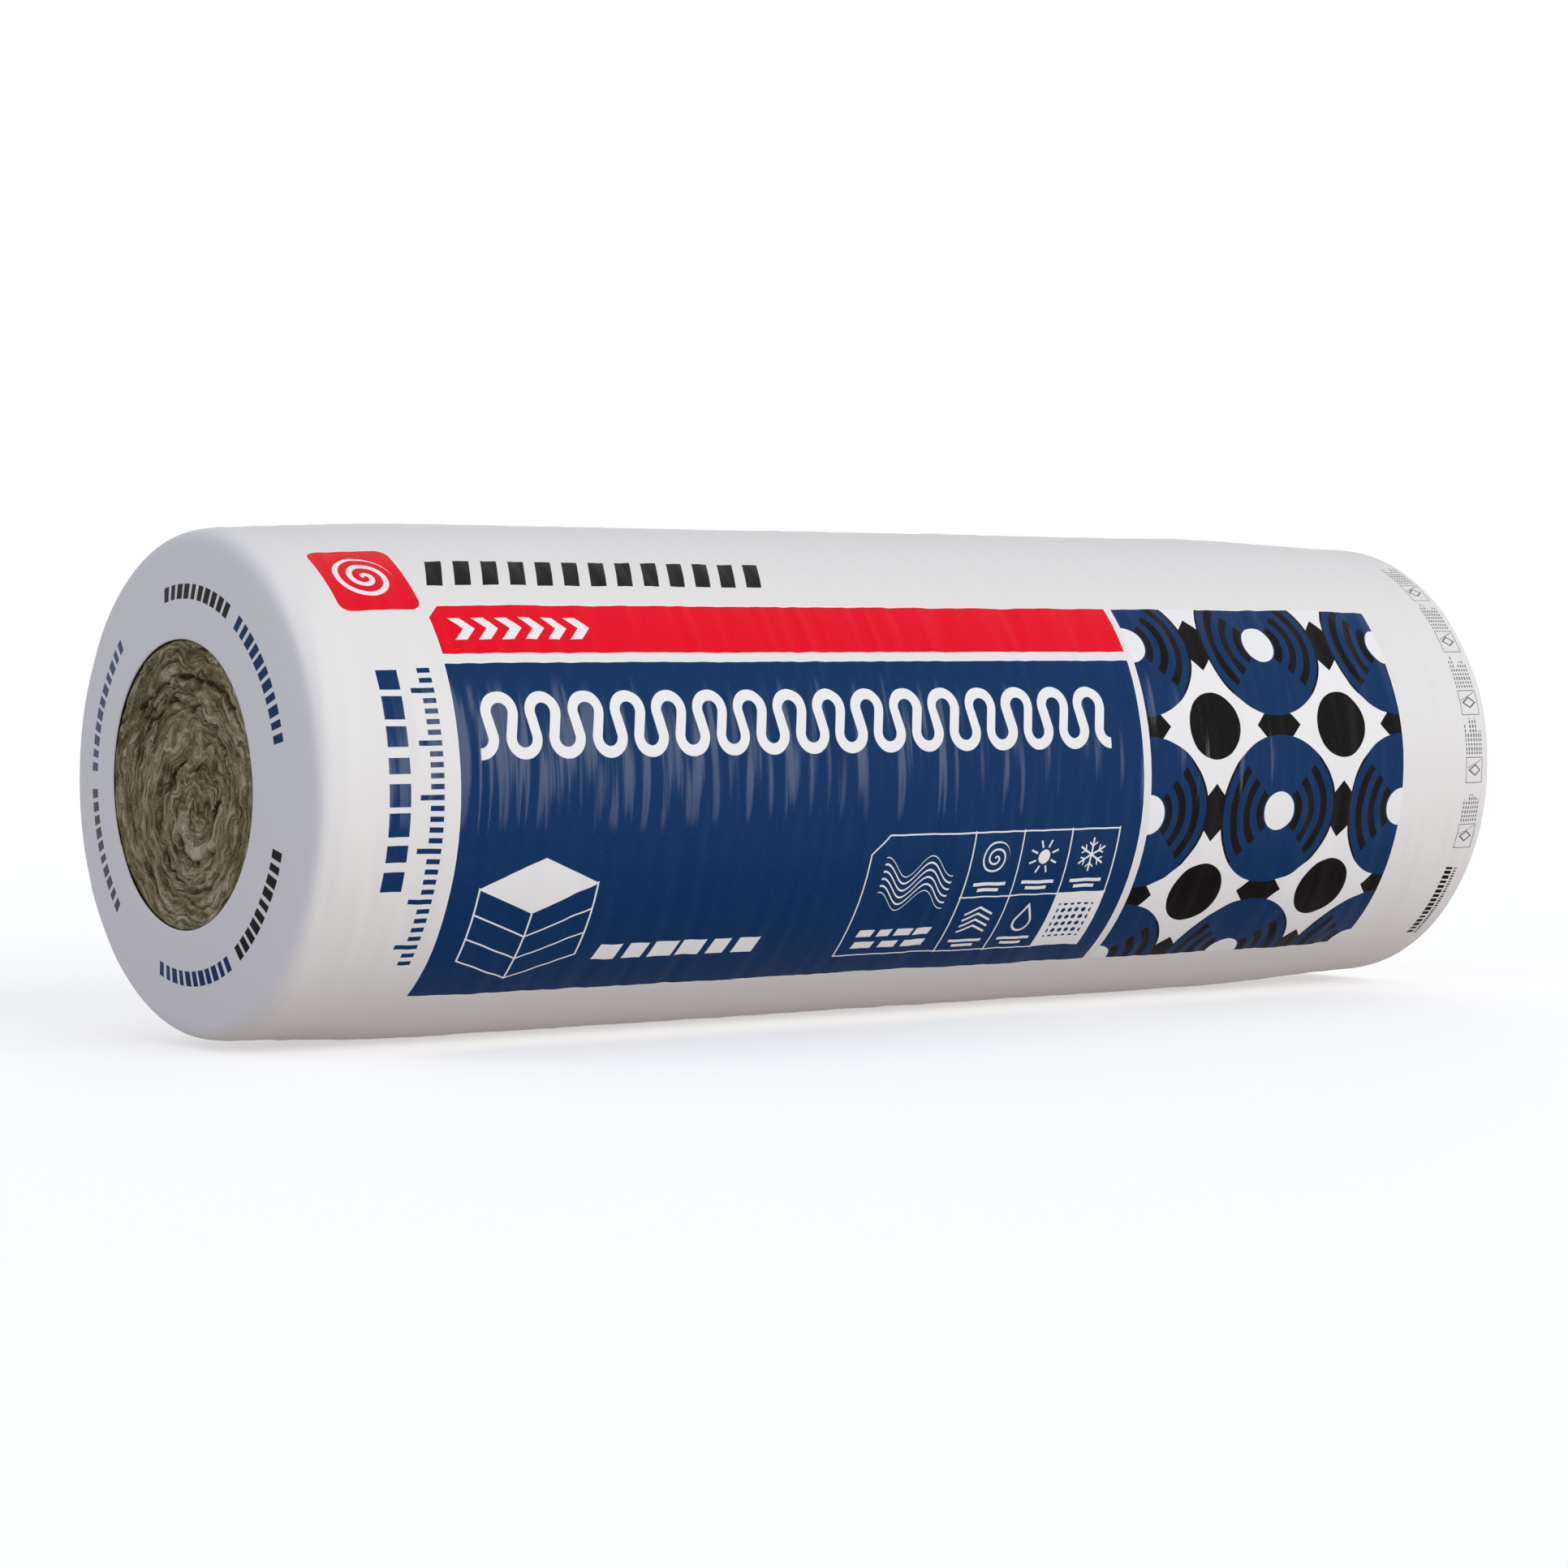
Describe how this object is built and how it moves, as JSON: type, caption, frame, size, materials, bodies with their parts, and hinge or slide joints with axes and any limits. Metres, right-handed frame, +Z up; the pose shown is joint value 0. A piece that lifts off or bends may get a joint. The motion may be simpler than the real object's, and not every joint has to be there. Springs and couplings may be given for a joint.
{
  "type": "insulation roll",
  "caption": "Tightly rolled mineral-wool mat in a printed white film sleeve, lying on its side; the film is drawn in over both ends and leaves the wool's turns open to view.",
  "frame": {"origin": "on the floor under the middle of the roll, as it lies on its side", "axes": "+X along the roll towards its far end, +Z up; the print faces -Y"},
  "size_m": [1.2226, 0.405, 0.4049],
  "materials": {
    "mineral_wool": "crumpled felted fibre, matt",
    "printed_film": "white plastic film with printed colour blocks, satin"
  },
  "bodies": {
    "root": {"wool_roll": "mineral_wool", "film_wrapper": "printed_film"}
  },
  "joints": []
}
